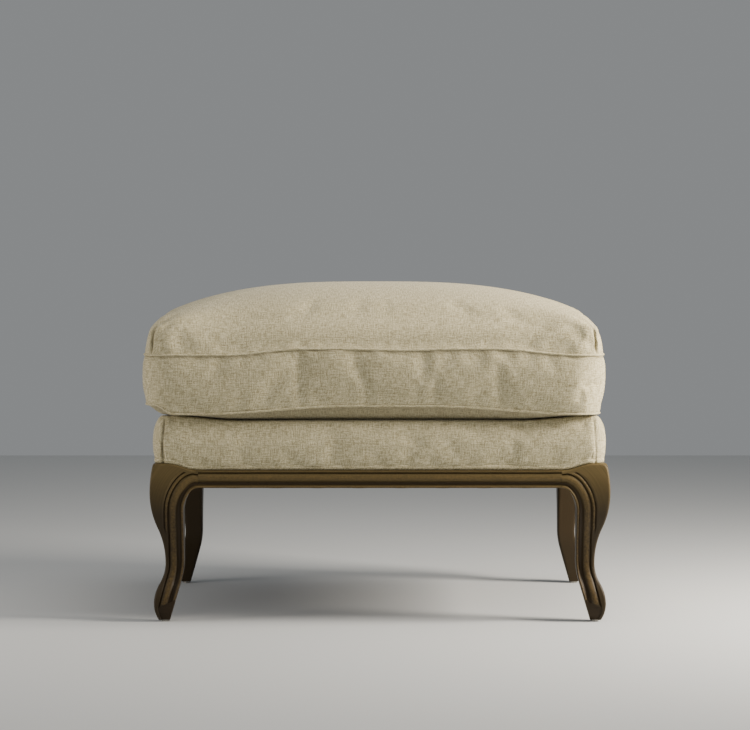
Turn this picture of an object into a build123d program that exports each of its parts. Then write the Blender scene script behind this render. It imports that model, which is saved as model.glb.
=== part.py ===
from build123d import *
import os
from math import atan2, copysign, cos, degrees, hypot, pi, radians, sin, sqrt, tan

# Upholstered low stool: a loose crowned cushion on a padded deck, over moulded rails
# and four moulded cabriole legs. Millimetres, +Z up, front towards -Y.

os.makedirs("parts", exist_ok=True)

# Show-wood frame
frame_width = 662.0          # over the knees, left to right
frame_depth = 522.0          # over the knees, front to back
rail_underside = 194.0
rail_show_height = 25.0      # polished face below the upholstery
rail_height = 58.0
rail_thickness = 34.0
rail_set_back = 2.0          # rail face behind the fullest part of the knees
rabbet_depth = 14.0          # step in rails and posts that takes the padding
leg_block = 70.0             # leg at the height of the rails, knee to rail end
post_corner_radius = 12.0
ear_rise = 9.5               # polished edge climbs by this much towards the corner
ear_run = 42.0

# Cabriole leg outline, set back from the fullest part of the knee
knee_height = 187.0
ankle_height = 84.0
toe_height = 26.0
ear_set_back = 4.7
ankle_set_back = 21.2
toe_set_back = 5.5
sole_set_back = 12.0
shank_inner_edge = 48.0
arch_height = 34.0
arch_turn = 50.0             # degrees turned by the tighter arc of the arch
ankle_bend_top = 88.0
ankle_bend_radius = 110.0
foot_splay = 16.0            # degrees
arris_width = 2.4

# Mouldings, measured from the lower edge of the rail and the inner edge of the leg
bead_width = 4.0
hollow_width = 9.0
rib_width = 8.5
quirk_width = 2.2
hollow_depth = 2.6
quirk_depth = 2.2
bead_drop = 0.8              # rounding of the bead and the rib on the rails
toe_recess = 2.2             # plain foot below the moulded face
toe_line_inner = 29.0        # moulded face ends on a slope
toe_line_outer = 21.0

# Frame joints and hardware
tenon_length = 48.0          # loose tenon, half in the rail and half in the leg
tenon_height = 36.0
tenon_thickness = 10.0
tenon_clearance = 0.1
tenon_end_gap = 0.8
block_side = 100.0
block_height = 32.0
block_drop = 8.0             # below the top of the rails
block_gap = 0.8              # corner block to leg
screw_diameter = 4.2
screw_head_diameter = 8.0
screw_head_height = 3.0
hardware_sides = 8           # small round bars are drawn with flats
screw_head_sink = 14.0       # under the sloping face of the block
screw_clearance = 0.1
screw_end_gap = 0.8
screw_tenon_gap = 7.0        # screw's middle beyond the end of the tenon
screw_bite = 16.0            # length of the screw in its rail
glide_diameter = 12.0
glide_height = 2.5
glide_nail_width = 2.0       # square tack
glide_nail_length = 14.0
glide_nail_clearance = 0.1

# Deck upholstery
strap_width = 50.0
strap_thickness = 1.4
strap_gap = 0.2              # between straps where they cross
straps_side_to_side = 4
straps_front_to_back = 5
strap_pitch_depth = 90.0
strap_pitch_width = 100.0
strap_end_cover = 14.0       # strap on top of a rail
sheet_clearance = 0.3
hessian_thickness = 0.8
cloth_thickness = 1.2
cloth_clearance = 0.3
deck_foot_inset = 12.5       # fabric behind the knees at the polished edge
deck_side_inset = 6.0        # fullest part of the deck's side
deck_straight_height = 24.0  # levels above the polished edge of the rails
deck_full_height = 44.0
deck_top_height = 78.0
deck_shoulder_power = 2.4    # 2 is an ellipse, more is squarer
deck_top_inset = 36.0
deck_corner_radius = 14.0
deck_corner_growth = 0.5     # corner radius gained for each millimetre of inset
deck_shoulder_turns = (0, 20, 40, 65, 90)  # degrees, rings of the rounded shoulder
deck_welt_diameter = 6.0
soft_flats = 5               # straight flats along each curve of a soft form's plan
welt_sides = 6
welt_clearance = 0.4
dust_cover_thickness = 0.8
dust_cover_inset = 16.0      # behind the rail's face
dust_cover_leg_gap = 1.0
staple_crown = 10.0
staple_wire = 0.8
staple_leg = 6.0
staple_inset = 5.0           # from the edge of the dust cover
staples_long_side = 5
staples_short_side = 4

# Loose cushion
cushion_width = 670.0
cushion_depth = 528.0
cushion_seat_gap = 0.4       # above the deck
bottom_bow = 9.0             # bottom panel below its seam
bottom_bow_inset = 70.0
boxing_height = 83.0
crown_height = 96.0
crown_wall_height = 34.0     # steep part of the crown beside the seam
crown_wall_inset = 10.0
crown_power = 2.6            # how fast the crown flattens towards the middle
crown_rings = (0.0, 0.06, 0.16, 0.32, 0.55, 0.85)
filling_rings = (0.0, 0.16, 0.55)
bottom_turns = (45, 90)      # degrees, rings of the bowed bottom
cushion_corner = 34.0
crown_corner_growth = 0.2    # corner gained for each millimetre of inset
crown_corner_share = 0.7     # most of the half depth that a corner takes
cushion_draw_in = 2.0        # degrees that front and side seams lean in from the corners
cushion_welt_diameter = 5.2
core_margin = 40.0           # wrap between the core and the boxing
core_rise = 3.5              # core beyond the level of each seam
core_corner = 25.0

# Zip in the back boxing
zip_length = 420.0
zip_opening = 7.6
zip_opening_margin = 1.0
zip_tape_height = 30.0
zip_tape_thickness = 0.7
zip_tape_margin = 8.0
zip_seat_gap = 0.1
zip_chain_height = 5.2
zip_chain_thickness = 2.6
zip_stop_length = 3.0
zip_stop_reach = 0.5         # stop beyond the sides of the chain
slider_length = 13.0
slider_height = 10.0
slider_plate = 1.4
slider_clearance = 0.2
slider_rounding = 2.0
lug_length = 3.6
lug_height = 3.8
lug_thickness = 1.1
pin_diameter = 1.6
pin_height = 2.1             # above the slider's plate
pin_clearance = 0.08
pull_length = 24.0
pull_width = 4.4
pull_thickness = 1.2
pull_eye_wall = 0.8
pull_hole = 2.0

# Levels and places that several pieces share
half_width = frame_width / 2
half_depth = frame_depth / 2
show_top = rail_underside + rail_show_height
ear_top = show_top + ear_rise
ear_flat = deck_foot_inset + deck_corner_radius
rail_top = rail_underside + rail_height
rail_middle = rail_underside + rail_height / 2
rail_end_x = half_width - leg_block
rail_end_y = half_depth - leg_block
rail_inside = rail_set_back + rail_thickness
rabbet = rail_set_back + rabbet_depth
tenon_line = (rabbet + rail_inside) / 2
upper_strap = rail_top + strap_thickness + strap_gap
hessian_under = upper_strap + strap_thickness + sheet_clearance
pad_under = hessian_under + hessian_thickness + sheet_clearance
deck_top = show_top + deck_top_height
hollow_end = bead_width + hollow_width
quirk_start = hollow_end + rib_width
quirk_end = quirk_start + quirk_width
welt_lift = deck_welt_diameter / 2 + welt_clearance
bottom_seam = deck_top + cushion_seat_gap + bottom_bow
top_seam = bottom_seam + boxing_height
zip_middle = bottom_seam + boxing_height / 2
cushion_back = cushion_depth / 2
tape_face = cushion_back - cloth_thickness - zip_seat_gap
chain_face = tape_face + zip_chain_thickness
plate_face = chain_face + slider_clearance + slider_plate


def save(node, *solids):
    """Write one node; several solids become a group."""
    shape = solids[0] if len(solids) == 1 else Compound(list(solids))
    export_step(shape, "parts/" + node + ".step")


def four_corners(solid):
    """Copies of a back right piece for back right, back left, front right and front left."""
    return solid, mirror(solid, about=Plane.YZ), mirror(solid, about=Plane.XZ), Rot(0, 0, 180) * solid


def slim_bar(diameter, length):
    """Small round bar from the origin upwards, with flats round it."""
    return extrude(RegularPolygon(diameter / 2, hardware_sides), amount=length)


def front_view(a, z):
    """Point of a leg's front view: a is measured outwards from the knee, z from the floor."""
    return Vector(a, -leg_block, z)


def polyline(*points):
    """Straight edges from point to point."""
    return [Line(first, last) for first, last in zip(points, points[1:])]


def s_bend(start, end, way):
    """Two equal arcs that leave start and reach end in the same direction."""
    middle = (start + end) / 2
    return [Edge.make_tangent_arc(start, way, middle), Edge.make_tangent_arc(end, way * -1, middle)]


def arc_about(centre, radius, first, last):
    """Arc in the front view about a centre, by angles from the +X side."""
    ends = []
    for angle in (first, (first + last) / 2, last):
        ends.append(centre + Vector(radius * cos(radians(angle)), 0, radius * sin(radians(angle))))
    return ThreePointArc(*ends)


def moulding_line(offset, floor):
    """Line that runs at one distance from the arch and inner edge of a leg, down to a floor level."""
    run = leg_block - shank_inner_edge
    turn = radians(arch_turn)
    step = (arch_height - run) / (sin(turn) + cos(turn) - 1)
    tight = run - step * (1 - sin(turn))
    wide = tight + step
    upper_centre = front_view(-leg_block, rail_underside - tight)
    lower_centre = upper_centre - Vector(step * sin(turn), 0, step * cos(turn))
    ankle_centre = front_view(ankle_bend_radius - shank_inner_edge, ankle_bend_top)
    upper = arc_about(upper_centre, tight + offset, 90, 90 - arch_turn)
    lower = arc_about(lower_centre, wide + offset, 90 - arch_turn, 0)
    bend = arc_about(ankle_centre, ankle_bend_radius - offset, 180, 180 + foot_splay)
    drop = (bend @ 1).Z - floor
    sole = (bend @ 1) + Vector(drop * tan(radians(foot_splay)), 0, -drop)
    return [upper, lower, Line(lower @ 1, bend @ 0), bend, Line(bend @ 1, sole)]


def outer_line(shift):
    """Outer S-shaped edge of a leg from sole to ear, moved inwards by shift."""
    up = Vector(0, 0, 1)
    sole = front_view(-sole_set_back - shift, glide_height)
    toe = front_view(-toe_set_back - shift, toe_height)
    ankle = front_view(-ankle_set_back - shift, ankle_height)
    knee = front_view(-shift, knee_height)
    ear = front_view(-ear_set_back - shift, ear_top)
    lower = [Edge.make_tangent_arc(toe, up * -1, sole)] + s_bend(toe, ankle, up)
    return lower + s_bend(ankle, knee, up) + [Edge.make_tangent_arc(knee, up, ear)], sole, ear


def ear_line(raised):
    """Climb of the polished edge from the rail to the corner, as a parallel line raised above it."""
    radius = (ear_run ** 2 + ear_rise ** 2) / (4 * ear_rise)
    turn = degrees(2 * atan2(ear_rise, ear_run))
    low_centre = front_view(-ear_flat - ear_run, show_top + radius)
    high_centre = front_view(-ear_flat, ear_top - radius)
    low = arc_about(low_centre, radius - raised, -90, -90 + turn)
    return [low, arc_about(high_centre, radius + raised, 90 + turn, 90)]


def under_ear_line(raised):
    """Everything at one corner below a line raised above the polished edge."""
    climb = ear_line(raised)
    beyond = leg_block
    outline = climb + polyline(climb[1] @ 1, front_view(beyond, ear_top + raised), front_view(beyond, 0))
    outline += polyline(front_view(beyond, 0), front_view(-leg_block, 0))
    outline += polyline(front_view(-leg_block, 0), front_view(-leg_block, show_top + raised), climb[0] @ 0)
    side = extrude(make_face(outline), amount=leg_block + beyond, dir=(0, 1, 0))
    return side & other_side(side)


def run_back(edges, length):
    """Solid from a closed front view, run towards the face of the leg."""
    return extrude(make_face(edges), amount=length, dir=(0, 1, 0))


def other_side(solid):
    """The same shape for the neighbouring face of the leg."""
    return mirror(solid, about=Plane((0, 0, 0), x_dir=(0, 0, 1), z_dir=(1, -1, 0)))


def skin(depth):
    """Everything in front of a surface that lies at one depth under the leg's face."""
    line, sole, ear = outer_line(depth)
    beyond = leg_block
    outline = line + polyline(ear, ear + Vector(0, 0, beyond), front_view(beyond, ear_top + beyond),
                              front_view(beyond, -beyond), sole - Vector(0, 0, beyond), sole)
    return other_side(extrude(make_face(outline), amount=4 * leg_block, dir=(0, 1, 0), both=True))


def channel(near, far, depth):
    """Sunk channel between two moulding lines, following the curved face."""
    first = moulding_line(near, 0)
    last = moulding_line(far, 0)
    ends = polyline(first[0] @ 0, last[0] @ 0) + polyline(first[-1] @ 1, last[-1] @ 1)
    return run_back(first + last + ends, 2 * leg_block) & skin(depth)


def make_leg():
    """Leg for the back right corner, with its outer corner at the origin."""
    inner = moulding_line(0, glide_height)
    outer, sole, ear = outer_line(0)
    climb = ear_line(0)
    rail_end = front_view(-leg_block, show_top)
    outline = inner + polyline(inner[-1] @ 1, sole) + outer + polyline(ear, climb[1] @ 1) + climb
    outline += polyline(climb[0] @ 0, rail_end, inner[0] @ 0)
    sawn = run_back(outline, leg_block)
    leg = sawn & other_side(sawn)
    inner_sole = (inner[-1] @ 1).X
    arris = [edge for edge in leg.edges() if abs((edge @ 0.5).X - (edge @ 0.5).Y) < arris_width / 100
             and (edge @ 0.5).X > -ankle_set_back - arris_width and edge.length > 2 * arris_width]
    leg = chamfer(arris, arris_width)
    toe = polyline(front_view(-leg_block, toe_line_inner), front_view(inner_sole, toe_line_inner),
                   front_view(-toe_set_back, toe_line_outer), front_view(leg_block, toe_line_outer),
                   front_view(leg_block, -leg_block), front_view(-leg_block, -leg_block),
                   front_view(-leg_block, toe_line_inner))
    cuts = [
        channel(bead_width, hollow_end, hollow_depth),
        channel(quirk_start, quirk_end, quirk_depth),
        run_back(toe, 2 * leg_block) & skin(toe_recess),
    ]
    leg = leg - [cut for side in cuts for cut in (side, other_side(side))]
    post_side = leg_block - rabbet
    post = Pos(-leg_block, -leg_block, rail_underside) * Box(
        post_side, post_side, rail_height, align=(Align.MIN, Align.MIN, Align.MIN))
    outer_edge = post.edges().filter_by(Axis.Z).sort_by(lambda edge: (edge @ 0).X + (edge @ 0).Y)[-1]
    leg += fillet(outer_edge, post_corner_radius)
    mortise = Pos(-leg_block, -tenon_line, rail_middle) * tenon_room
    leg = leg - mortise - other_side(mortise)
    sole_middle = (inner_sole - sole_set_back - toe_recess) / 2
    nail_hole_width = glide_nail_width + 2 * glide_nail_clearance
    nail_hole = Box(nail_hole_width, nail_hole_width, 2 * glide_nail_length + 2 * glide_nail_clearance)
    return leg - Pos(sole_middle, sole_middle, glide_height) * nail_hole, sole_middle


# Loose tenons and the room that their mortises give them
tenon = Box(tenon_length, tenon_thickness, tenon_height)
tenon_room = Box(tenon_length + 2 * tenon_end_gap, tenon_thickness + 2 * tenon_clearance,
                 tenon_height + 2 * tenon_clearance)

# Legs and glides
leg, sole_middle = make_leg()
corner = Pos(half_width, half_depth, 0)
corner_names = ("back_right", "back_left", "front_right", "front_left")
for place, solid in zip(corner_names, four_corners(corner * leg)):
    save("leg_" + place, solid)
disc = slim_bar(glide_diameter, glide_height)
nail = Pos(0, 0, glide_height) * Box(glide_nail_width, glide_nail_width, 2 * glide_nail_length)
nail &= Pos(0, 0, glide_height / 2) * Box(glide_diameter, glide_diameter, 2 * glide_nail_length,
                                          align=(Align.CENTER, Align.CENTER, Align.MIN))
save("foot_glides", *four_corners(corner * Pos(sole_middle, sole_middle, 0) * (disc + nail)))


def make_rail(half_length, screws):
    """Back rail about the middle of its length, with the knees' face at y = 0."""
    def at(inset, height):
        return Vector(0, -inset, rail_underside + height)

    def curve(start, end, ends_inset, middle_inset):
        middle = (start + end) / 2
        return ThreePointArc(at(ends_inset, start), at(middle_inset, middle), at(ends_inset, end))

    face = rail_set_back
    eased = face + bead_drop
    sunk = face + quirk_depth
    outline = [curve(0, bead_width, eased, face)]
    outline += [curve(bead_width, hollow_end, eased, face + hollow_depth)]
    outline += [curve(hollow_end, quirk_start, eased, face)]
    outline += polyline(at(eased, quirk_start), at(sunk, quirk_start), at(sunk, quirk_end))
    outline += polyline(at(sunk, quirk_end), at(face, quirk_end), at(face, rail_show_height))
    outline += polyline(at(face, rail_show_height), at(rabbet, rail_show_height))
    outline += polyline(at(rabbet, rail_show_height), at(rabbet, rail_height), at(rail_inside, rail_height))
    outline += polyline(at(rail_inside, rail_height), at(rail_inside, 0), at(eased, 0))
    rail = extrude(make_face(outline), amount=half_length, dir=(1, 0, 0), both=True)
    screw_depth = screw_bite + screw_end_gap
    screw_room = Pos(0, 0, -screw_depth) * slim_bar(screw_diameter + 2 * screw_clearance, 2 * screw_depth)
    for side in (-1, 1):
        rail -= Pos(side * half_length, -tenon_line, rail_middle) * tenon_room
        rail -= Pos(side * screws, -rail_inside, block_middle) * Rot(90, 0, 0) * screw_room
    return rail


# Rails
block_middle = rail_top - block_drop - block_height / 2
screw_place = leg_block - rail_inside + tenon_length / 2 + screw_tenon_gap
long_screws = half_width - rail_inside - screw_place
short_screws = half_depth - rail_inside - screw_place
long_rail = Pos(0, half_depth, 0) * make_rail(rail_end_x, long_screws)
short_rail = Pos(half_width, 0, 0) * Rot(0, 0, -90) * make_rail(rail_end_y, short_screws)
save("rail_back", long_rail)
save("rail_front", mirror(long_rail, about=Plane.XZ))
save("rail_right", short_rail)
save("rail_left", mirror(short_rail, about=Plane.YZ))
long_tenon = corner * Pos(-leg_block, -tenon_line, rail_middle) * tenon
short_tenon = corner * Pos(-tenon_line, -leg_block, rail_middle) * Rot(0, 0, 90) * tenon
save("rail_tenons", *four_corners(long_tenon), *four_corners(short_tenon))

# Corner blocks, notched round the legs and screwed to both rails
notch = leg_block - rail_inside + block_gap
block_outline = Polyline(
    (-notch, 0), (-block_side, 0), (0, -block_side), (0, -notch), (-notch, -notch), close=True)
block = Pos(0, 0, block_middle - block_height / 2) * extrude(make_face(block_outline), amount=block_height)
head_reach = block_side - screw_place - screw_head_sink
screw_length = head_reach + screw_bite
shank = Pos(0, 0, -screw_length) * slim_bar(screw_diameter, screw_length)
to_rail = Pos(-screw_place, -head_reach, block_middle) * Rot(90, 0, 0)
screw = to_rail * (shank + slim_bar(screw_head_diameter, screw_head_height))
bore = Pos(0, 0, -screw_length) * slim_bar(screw_diameter + 2 * screw_clearance, screw_length)
counterbore = slim_bar(screw_head_diameter + 2 * screw_clearance, block_side)
drilled = to_rail * (bore + counterbore)
block = block - drilled - other_side(drilled)
block_place = corner * Pos(-rail_inside, -rail_inside, 0)
for place, solid in zip(corner_names, four_corners(block_place * block)):
    save("corner_block_" + place, solid)
screws = four_corners(block_place * screw) + four_corners(block_place * other_side(screw))
save("corner_block_screws", *screws)


def make_strap(half_length, crossings, upper_first):
    """Strap along X that passes over and under the straps it crosses."""
    line = [(-half_length, 0.0)]
    for number, place in enumerate(crossings):
        over = (number % 2 == 0) == upper_first
        level = upper_strap - rail_top if over else 0.0
        line += [(place - strap_width / 2, level), (place + strap_width / 2, level)]
    line += [(half_length, 0.0)]
    under = [Vector(x, -strap_width / 2, rail_top + z) for x, z in line]
    over = [point + Vector(0, 0, strap_thickness) for point in reversed(under)]
    return extrude(make_face(polyline(*under, *over, under[0])), amount=strap_width, dir=(0, 1, 0))


def spread(count, pitch):
    """Places of a row of pieces about the middle."""
    return [(number - (count - 1) / 2) * pitch for number in range(count)]


# Webbing and the sheet of hessian over it
rows = spread(straps_side_to_side, strap_pitch_depth)
columns = spread(straps_front_to_back, strap_pitch_width)
strap_end_x = half_width - rail_inside + strap_end_cover
strap_end_y = half_depth - rail_inside + strap_end_cover
side_straps = []
for number, place in enumerate(rows):
    side_straps.append(Pos(0, place, 0) * make_strap(strap_end_x, columns, number % 2 == 0))
front_straps = []
for number, place in enumerate(columns):
    strap = make_strap(strap_end_y, rows, number % 2 == 1)
    front_straps.append(Pos(place, 0, 0) * Rot(0, 0, 90) * strap)
save("webbing_side_to_side", *side_straps)
save("webbing_front_to_back", *front_straps)
hessian_outline = RectangleRounded(2 * strap_end_x, 2 * strap_end_y, deck_corner_radius)
save("hessian", Pos(0, 0, hessian_under) * extrude(hessian_outline, amount=hessian_thickness))


def drawn_in(profile, inside):
    """Profile of (inset, level) points moved inwards by a thickness along its own normals."""
    moved = []
    for number, (inset, level) in enumerate(profile):
        before = profile[max(number - 1, 0)]
        after = profile[min(number + 1, len(profile) - 1)]
        run = after[0] - before[0]
        rise = after[1] - before[1]
        share = inside / hypot(run, rise)
        moved.append((inset + abs(rise) * share, level - copysign(run * share, rise)))
    return moved


def flat_loft(rings):
    """Solid through closed rings of equally many points, lowest first, with flat faces between them."""
    faces = [Face(Wire.make_polygon(rings[0])), Face(Wire.make_polygon(rings[-1]))]
    for low, high in zip(rings, rings[1:]):
        for number in range(len(low)):
            corners = [low[number - 1], low[number], high[number], high[number - 1]]
            faces.append(Face(Wire.make_polygon(corners)))
    return Solid(Shell(faces))


def flat_corners(width, depth, radius, level):
    """Ring of points round a rounded rectangle, with flats at its corners."""
    points = []
    for number, (side_x, side_y) in enumerate(((1, 1), (-1, 1), (-1, -1), (1, -1))):
        centre = Vector(side_x * (width / 2 - radius), side_y * (depth / 2 - radius), level)
        for step in range(soft_flats + 1):
            angle = (number + step / soft_flats) * pi / 2
            points.append(centre + Vector(radius * cos(angle), radius * sin(angle), 0))
    return points


def deck_form(inside, bottom):
    """Padded deck as a loft, drawn in by a thickness, from a level up to its crown."""
    profile = [(deck_foot_inset, show_top), (deck_foot_inset, show_top + deck_straight_height)]
    span = deck_top_inset - deck_side_inset
    rise = deck_top_height - deck_full_height
    for turn in deck_shoulder_turns:
        across = abs(cos(radians(turn))) ** (2 / deck_shoulder_power)
        up = sin(radians(turn)) ** (2 / deck_shoulder_power)
        profile.append((deck_side_inset + span * (1 - across), show_top + deck_full_height + rise * up))
    rings = []
    for inset, level in [(deck_foot_inset + inside, bottom)] + drawn_in(profile, inside)[1:]:
        radius = deck_corner_radius - inside + max(inset - inside - deck_foot_inset, 0) * deck_corner_growth
        rings.append(flat_corners(frame_width - 2 * inset, frame_depth - 2 * inset, radius, level))
    return flat_loft(rings)


# Deck padding, its cover and the welt along the polished edge
deck_bottom = show_top + sheet_clearance
above_wood = four_corners(corner * under_ear_line(sheet_clearance))
cover = deck_form(0, deck_bottom) - deck_form(cloth_thickness, rail_underside) - list(above_wood)
save("deck_cover", cover)
cavity_x = 2 * (half_width - rabbet + sheet_clearance)
cavity_y = 2 * (half_depth - rabbet + sheet_clearance)
cavity = Box(cavity_x, cavity_y, rail_height, align=(Align.CENTER, Align.CENTER, Align.MAX))
pad = deck_form(cloth_thickness + cloth_clearance, deck_bottom)
save("deck_pad", pad - Pos(0, 0, pad_under) * cavity - list(above_wood))
welt_inset = deck_foot_inset - welt_lift
climb = [Pos(half_width, half_depth - welt_inset + leg_block, 0) * edge for edge in ear_line(welt_lift)]
turn_radius = deck_corner_radius + welt_lift
turn_start = climb[1] @ 1
turn_centre = turn_start - Vector(0, turn_radius, 0)
turn_middle = turn_centre + Vector(turn_radius / sqrt(2), turn_radius / sqrt(2), 0)
turn = ThreePointArc(turn_start, turn_middle, turn_centre + Vector(turn_radius, 0, 0))
side_climb = [Pos(half_width - half_depth, half_depth - half_width, 0) * other_side(edge) for edge in climb]
path = []
for edge in climb + [turn] + side_climb:
    path += [copy.edge() for copy in four_corners(edge)]
start_x = (climb[0] @ 0).X
start_y = (side_climb[0] @ 0).Y
welt_x = half_width - welt_inset
welt_y = half_depth - welt_inset
welt_level = show_top + welt_lift
for side in (-1, 1):
    path += polyline(Vector(-start_x, side * welt_y, welt_level), Vector(start_x, side * welt_y, welt_level))
    path += polyline(Vector(side * welt_x, -start_y, welt_level), Vector(side * welt_x, start_y, welt_level))
welt_path = Wire(path)
welt_section = Plane(welt_path @ 0, z_dir=welt_path % 0) * RegularPolygon(deck_welt_diameter / 2, welt_sides)
save("deck_welt", sweep(welt_section, path=welt_path))

# Dust cover under the frame, stapled to the rails
dust_x = half_width - rail_set_back - dust_cover_inset
dust_y = half_depth - rail_set_back - dust_cover_inset
dust_outline = Rectangle(2 * dust_x, 2 * (rail_end_y - dust_cover_leg_gap))
dust_outline += Rectangle(2 * (rail_end_x - dust_cover_leg_gap), 2 * dust_y)
dust_under = rail_underside - dust_cover_thickness
save("dust_cover", Pos(0, 0, dust_under) * extrude(dust_outline, amount=dust_cover_thickness))
crown = Box(staple_crown, staple_wire, staple_wire, align=(Align.CENTER, Align.CENTER, Align.MAX))
prong = Box(staple_wire, staple_wire, staple_leg, align=(Align.CENTER, Align.CENTER, Align.MIN))
prong_place = (staple_crown - staple_wire) / 2
staple = Pos(0, 0, dust_under) * (crown + Pos(prong_place, 0, 0) * prong + Pos(-prong_place, 0, 0) * prong)
staples = []
for side in (-1, 1):
    for place in spread(staples_long_side, 2 * rail_end_x / staples_long_side):
        staples.append(Pos(place, side * (dust_y - staple_inset), 0) * staple)
    for place in spread(staples_short_side, 2 * rail_end_y / staples_short_side):
        staples.append(Pos(side * (dust_x - staple_inset), place, 0) * Rot(0, 0, 90) * staple)
save("dust_cover_staples", *staples)


def cushion_edges(inset_x, inset_y, cut, level):
    """Plan of the cushion, edge by edge: front and sides drawn in between the corners, back straight."""
    x = cushion_width / 2 - inset_x
    y = cushion_depth / 2 - inset_y
    lean = radians(cushion_draw_in)

    def corner_arc(start, end, half_turn):
        outwards = Vector(start.X + end.X, start.Y + end.Y, 0)
        chord = end - start
        across = Vector(chord.Y, -chord.X, 0).normalized()
        if across.dot(outwards) < 0:
            across = across * -1
        sagitta = chord.length / 2 * tan(half_turn / 2)
        return ThreePointArc(start, (start + end) / 2 + across * sagitta, end)

    def side_arc(start, end):
        middle = (start + end) / 2
        inwards = Vector(-middle.X, -middle.Y, 0).normalized()
        return ThreePointArc(start, middle + inwards * ((end - start).length / 2 * tan(lean / 2)), end)

    front = [Vector(-x + cut, -y, level), Vector(x - cut, -y, level)]
    right = [Vector(x, -y + cut, level), Vector(x, y - cut, level)]
    back = [Vector(x - cut, y, level), Vector(-x + cut, y, level)]
    left = [Vector(-x, y - cut, level), Vector(-x, -y + cut, level)]
    quarter = radians(45)
    return [
        side_arc(*front),
        corner_arc(front[1], right[0], quarter + lean),
        side_arc(*right),
        corner_arc(right[1], back[0], quarter + lean / 2),
        Line(*back),
        corner_arc(back[1], left[0], quarter + lean / 2),
        side_arc(*left),
        corner_arc(left[1], front[0], quarter + lean),
    ]


def cushion_plan(inset_x, inset_y, cut, level):
    """Ring of points round the cushion, with flats along its curves."""
    points = []
    for edge in cushion_edges(inset_x, inset_y, cut, level):
        count = 1 if edge.geom_type == GeomType.LINE else soft_flats
        points += [edge @ (number / count) for number in range(count)]
    return points


def cushion_form(profile, inside, seam):
    """Loft through plans of the cushion at the points of a profile, from a seam level on."""
    wall = crown_wall_inset
    narrow = (cushion_depth / 2 - wall) / (cushion_width / 2 - wall)
    rings = []
    for inset, level in [(inside, seam)] + drawn_in(profile, inside)[1:]:
        inset_y = min(inset, wall) + max(inset - wall, 0) * narrow
        most = (cushion_depth / 2 - inset_y) * crown_corner_share
        cut = min(cushion_corner + inset * crown_corner_growth, most)
        rings.append(cushion_plan(inset, inset_y, cut, level))
    if profile[-1][1] < profile[0][1]:
        rings.reverse()
    return flat_loft(rings)


def crown_form(inside, seam, rings):
    """Crown above the top seam: a steep wall, then a dome that flattens towards the middle."""
    wall = crown_wall_inset
    profile = [(0.0, top_seam), (wall / 5, top_seam + crown_wall_height / 2)]
    for share in rings:
        rise = crown_wall_height + (crown_height - crown_wall_height) * (1 - (1 - share) ** crown_power)
        profile.append((wall + share * (cushion_width / 2 - wall), top_seam + rise))
    return cushion_form(profile, inside, seam)


def bottom_form(inside, seam):
    """Bowed bottom below the lower seam."""
    profile = [(0.0, bottom_seam)]
    for turn in bottom_turns:
        share = 1 - cos(radians(turn))
        profile.append((bottom_bow_inset * share, bottom_seam - bottom_bow * sin(radians(turn))))
    return cushion_form(profile, inside, seam)


def boxing_form(inside):
    """Straight band between the seams."""
    seams = (bottom_seam, top_seam)
    return flat_loft([cushion_plan(inside, inside, cushion_corner, level) for level in seams])


def about_zip(length, height, front, back):
    """Block centred on the zip, between two depths."""
    block = Box(length, back - front, height, align=(Align.CENTER, Align.MIN, Align.CENTER))
    return Pos(0, front, zip_middle) * block


# Cushion cover, sewn from a top panel, boxing and a bottom panel with a welt in each seam
crown_hollow = crown_form(cloth_thickness, top_seam - cloth_thickness, crown_rings)
save("cushion_top_panel", crown_form(0, top_seam, crown_rings) - crown_hollow)
bottom_panel = bottom_form(0, bottom_seam) - bottom_form(cloth_thickness, bottom_seam + cloth_thickness)
save("cushion_bottom_panel", bottom_panel)
slot_length = zip_length + 2 * zip_opening_margin
slot = about_zip(slot_length, zip_opening, tape_face, cushion_back + cloth_thickness)
save("cushion_boxing", boxing_form(0) - boxing_form(cloth_thickness) - slot)
seam_offset = -cushion_welt_diameter / 2 - welt_clearance
for name, level in (("cushion_top_welt", top_seam), ("cushion_bottom_welt", bottom_seam)):
    seam = Wire(cushion_edges(seam_offset, seam_offset, cushion_corner - seam_offset, level))
    cord = Plane(seam @ 0, z_dir=seam % 0) * RegularPolygon(cushion_welt_diameter / 2, welt_sides)
    save(name, sweep(cord, path=seam))

# Cushion filling: a foam core in a soft wrap
filling = cloth_thickness + cloth_clearance
tape_height = zip_tape_height + 2 * cloth_clearance
tape_room = about_zip(zip_length + 2 * zip_tape_margin + 2 * cloth_clearance, tape_height,
                      tape_face - zip_tape_thickness - cloth_clearance, cushion_back)


def core_form(spare):
    """Foam block with rounded corners, grown by a spare room on every side."""
    margin = core_margin - spare
    plan = RectangleRounded(cushion_width - 2 * margin, cushion_depth - 2 * margin, core_corner + spare)
    return Pos(0, 0, zip_middle) * extrude(plan, amount=boxing_height / 2 + core_rise + spare, both=True)


wrap = boxing_form(filling) + bottom_form(filling, bottom_seam + filling)
wrap += crown_form(filling, top_seam, filling_rings)
save("cushion_wrap", wrap - core_form(cloth_clearance) - tape_room)
save("cushion_core", core_form(0))

# Zip: tape behind the boxing, chain in its opening, stops at both ends
tape = about_zip(zip_length + 2 * zip_tape_margin, zip_tape_height, tape_face - zip_tape_thickness, tape_face)
save("zip_tape", tape)
save("zip_chain", about_zip(zip_length - 2 * zip_stop_length, zip_chain_height, tape_face, chain_face))
stop = about_zip(zip_stop_length, zip_chain_height + 2 * zip_stop_reach, tape_face, chain_face)
stop_place = (zip_length - zip_stop_length) / 2
save("zip_stops", Pos(stop_place, 0, 0) * stop, Pos(-stop_place, 0, 0) * stop)

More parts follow.
